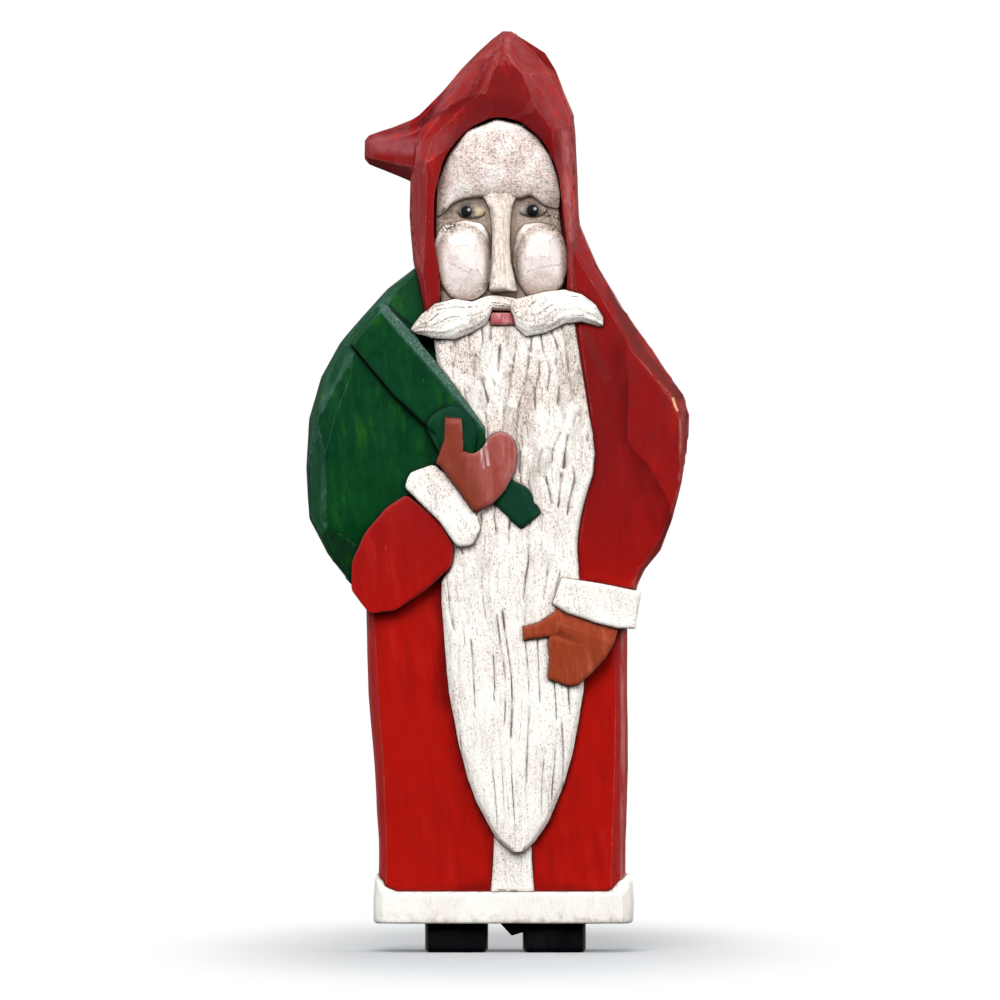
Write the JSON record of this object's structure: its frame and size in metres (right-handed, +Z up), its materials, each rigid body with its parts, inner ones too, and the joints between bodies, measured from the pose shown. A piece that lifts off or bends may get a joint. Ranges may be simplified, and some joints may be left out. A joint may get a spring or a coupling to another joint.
{
  "type": "carved santa figure",
  "caption": "Standing folk-carved wooden figure of a hooded, bearded gift-bringer in a long coat, one arm holding a sack over the shoulder, on short boots with flat soles.",
  "frame": {"origin": "on the ground under the middle of the figure's bounding box, at the level of the boot soles", "axes": "+Z up, the figure faces -Y, +X to the viewer's right"},
  "size_m": [0.1248, 0.057, 0.3],
  "materials": {
    "painted_wood": "knife-carved wood in thin matt to satin paint: red coat and hood, green sack, white beard, hem and cuffs, brown mittens, black boots, dark antique wash in the cuts"
  },
  "bodies": {
    "root": {"carving": "painted_wood"}
  },
  "joints": []
}
